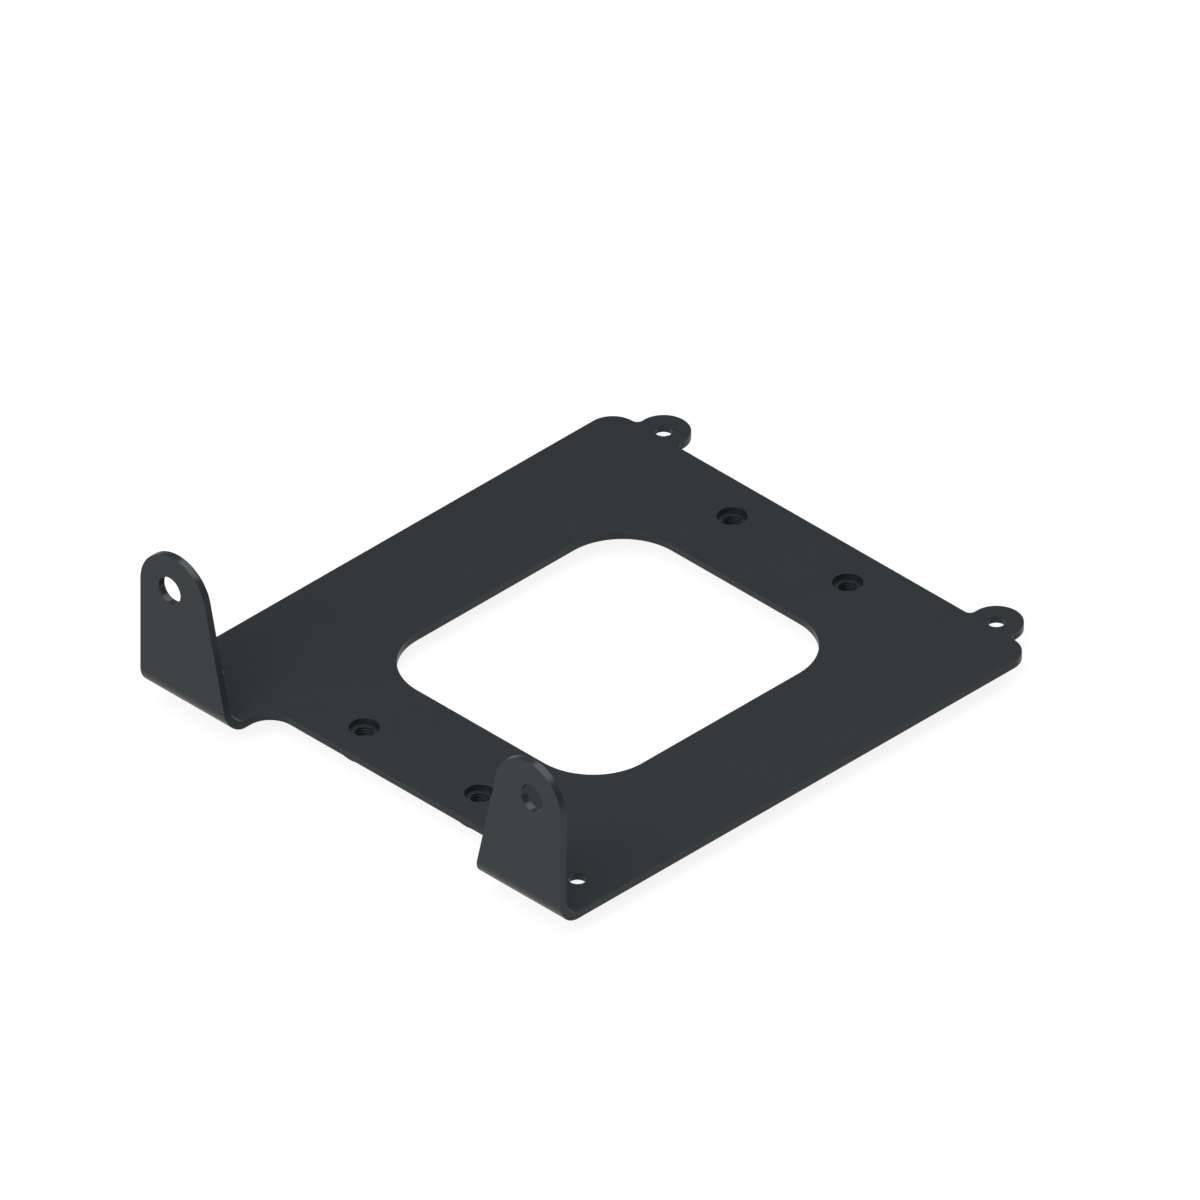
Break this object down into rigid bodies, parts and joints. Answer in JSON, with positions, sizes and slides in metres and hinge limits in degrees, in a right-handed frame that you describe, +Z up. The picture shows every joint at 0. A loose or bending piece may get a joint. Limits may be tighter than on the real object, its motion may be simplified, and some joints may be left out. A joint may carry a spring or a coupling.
{
  "type": "mounting bracket",
  "caption": "Flat sheet-steel mounting bracket with a rounded cutout, tapering uprights folded up at the front, drilled ears at the back and threaded weld nuts underneath.",
  "frame": {"origin": "centre of the rectangle of weld nuts, on the underside of the flat sheet", "axes": "+X to the right across the plate, +Y to the back towards the ears, +Z up towards the tips of the uprights"},
  "size_m": [0.215, 0.255, 0.073],
  "materials": {
    "powder_coat": "fine satin powder coat"
  },
  "bodies": {
    "root": {"bracket_plate": "powder_coat", "nut_front_left": "powder_coat", "nut_front_right": "powder_coat", "nut_back_left": "powder_coat", "nut_back_right": "powder_coat"}
  },
  "joints": []
}
